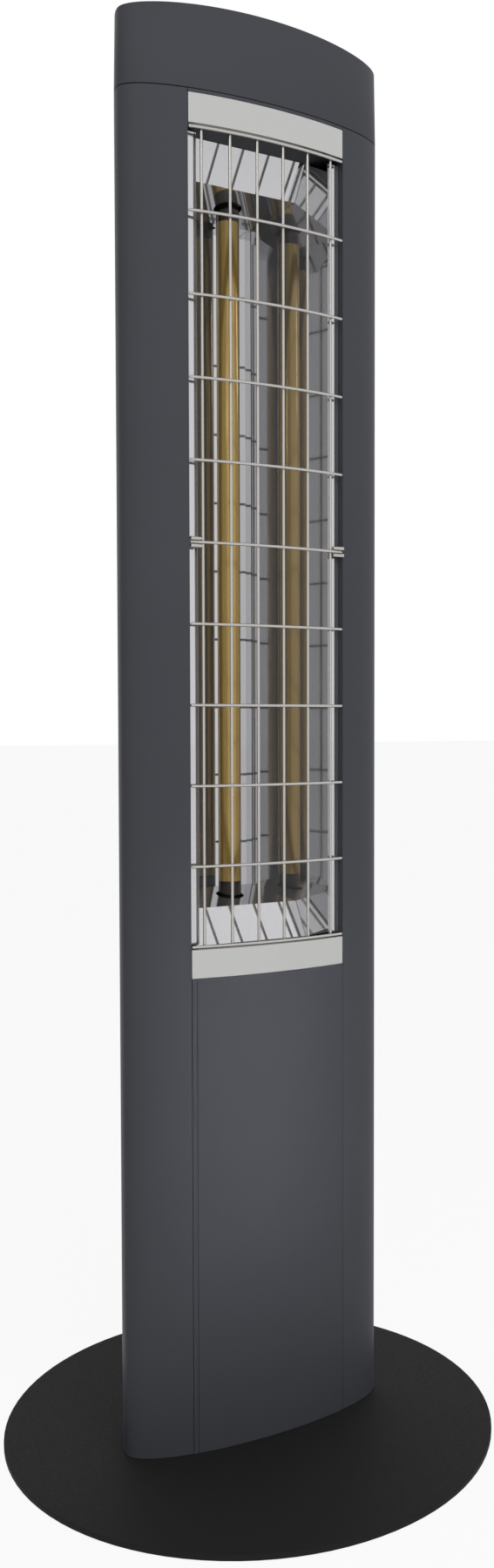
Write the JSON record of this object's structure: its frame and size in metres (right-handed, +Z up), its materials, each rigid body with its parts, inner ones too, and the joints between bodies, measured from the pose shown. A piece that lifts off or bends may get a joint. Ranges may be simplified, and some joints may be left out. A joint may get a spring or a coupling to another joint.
{
  "type": "infrared patio heater tower",
  "caption": "Free-standing infrared patio heater tower: round steel base, anthracite side profiles and cap, and a gold lamp in a polished trough behind a wire guard.",
  "frame": {"origin": "middle of the round base, at floor level", "axes": "+Z up, the window faces -Y, +X to the right seen from the front"},
  "size_m": [0.6, 0.6, 1.6885],
  "materials": {
    "anthracite_paint": "satin",
    "black_steel": "textured matt",
    "satin_aluminium": "satin brushed",
    "polished_aluminium": "polished",
    "gold_coating": "gold coated quartz",
    "quartz": "clear",
    "tungsten": "drawn",
    "guard_wire": "bright",
    "zinc_steel": "zinc plated",
    "ceramic": "unglazed ceramic",
    "rubber": "matt",
    "black_plastic": "fine grain",
    "ivory_plastic": "smooth",
    "silicone_lead": "smooth"
  },
  "bodies": {
    "tower": {"back_panel": "anthracite_paint", "back_panel_screw_1": "zinc_steel", "back_panel_screw_2": "zinc_steel", "back_panel_screw_3": "zinc_steel", "back_panel_screw_4": "zinc_steel", "base_bolt_1": "zinc_steel", "base_bolt_2": "zinc_steel", "base_bolt_3": "zinc_steel", "base_bolt_4": "zinc_steel", "base_plate": "black_steel", "cap_screw_left": "zinc_steel", "cap_screw_right": "zinc_steel", "foot_pad_1": "rubber", "foot_pad_2": "rubber", "foot_pad_3": "rubber", "foot_pad_4": "rubber", "foot_plate": "zinc_steel", "front_panel": "anthracite_paint", "gland_body": "black_plastic", "gland_dome_nut": "black_plastic", "gland_lock_nut": "black_plastic", "guard_clip_left": "guard_wire", "guard_clip_right": "guard_wire", "heating_filament": "tungsten", "lamp_lead_lower": "silicone_lead", "lamp_lead_upper": "silicone_lead", "lamp_sleeve": "gold_coating", "left_side_profile": "anthracite_paint", "lower_carrier": "zinc_steel", "lower_ceramic_cap": "ceramic", "lower_end_reflector": "polished_aluminium", "lower_lamp_bracket": "zinc_steel", "lower_trim_strip": "satin_aluminium", "profile_screw_lower_left": "zinc_steel", "profile_screw_lower_right": "zinc_steel", "profile_screw_upper_left": "zinc_steel", "profile_screw_upper_right": "zinc_steel", "quartz_tube": "quartz", "reflector_back": "polished_aluminium", "reflector_left": "polished_aluminium", "reflector_right": "polished_aluminium", "right_side_profile": "anthracite_paint", "switch_housing": "black_plastic", "switch_lead": "silicone_lead", "terminal_block": "ivory_plastic", "tilt_switch": "black_plastic", "top_cap": "anthracite_paint", "top_plate": "zinc_steel", "upper_carrier": "zinc_steel", "upper_ceramic_cap": "ceramic", "upper_end_reflector": "polished_aluminium", "upper_lamp_bracket": "zinc_steel", "upper_trim_strip": "satin_aluminium", "window_header": "anthracite_paint", "window_sill": "anthracite_paint"},
    "guard": {"wire_guard": "guard_wire"},
    "rocker": {"switch_rocker": "black_plastic"}
  },
  "joints": [
    {"name": "guard_slide", "type": "slide", "parent": "tower", "child": "guard", "axis": [0, -1, 0], "range_m": [0, 0.12]},
    {"name": "rocker_hinge", "type": "hinge", "parent": "tower", "child": "rocker", "pos_m": [0, 0.0995, 0.13], "axis": [1, 0, 0], "range_deg": [0, 20]}
  ]
}
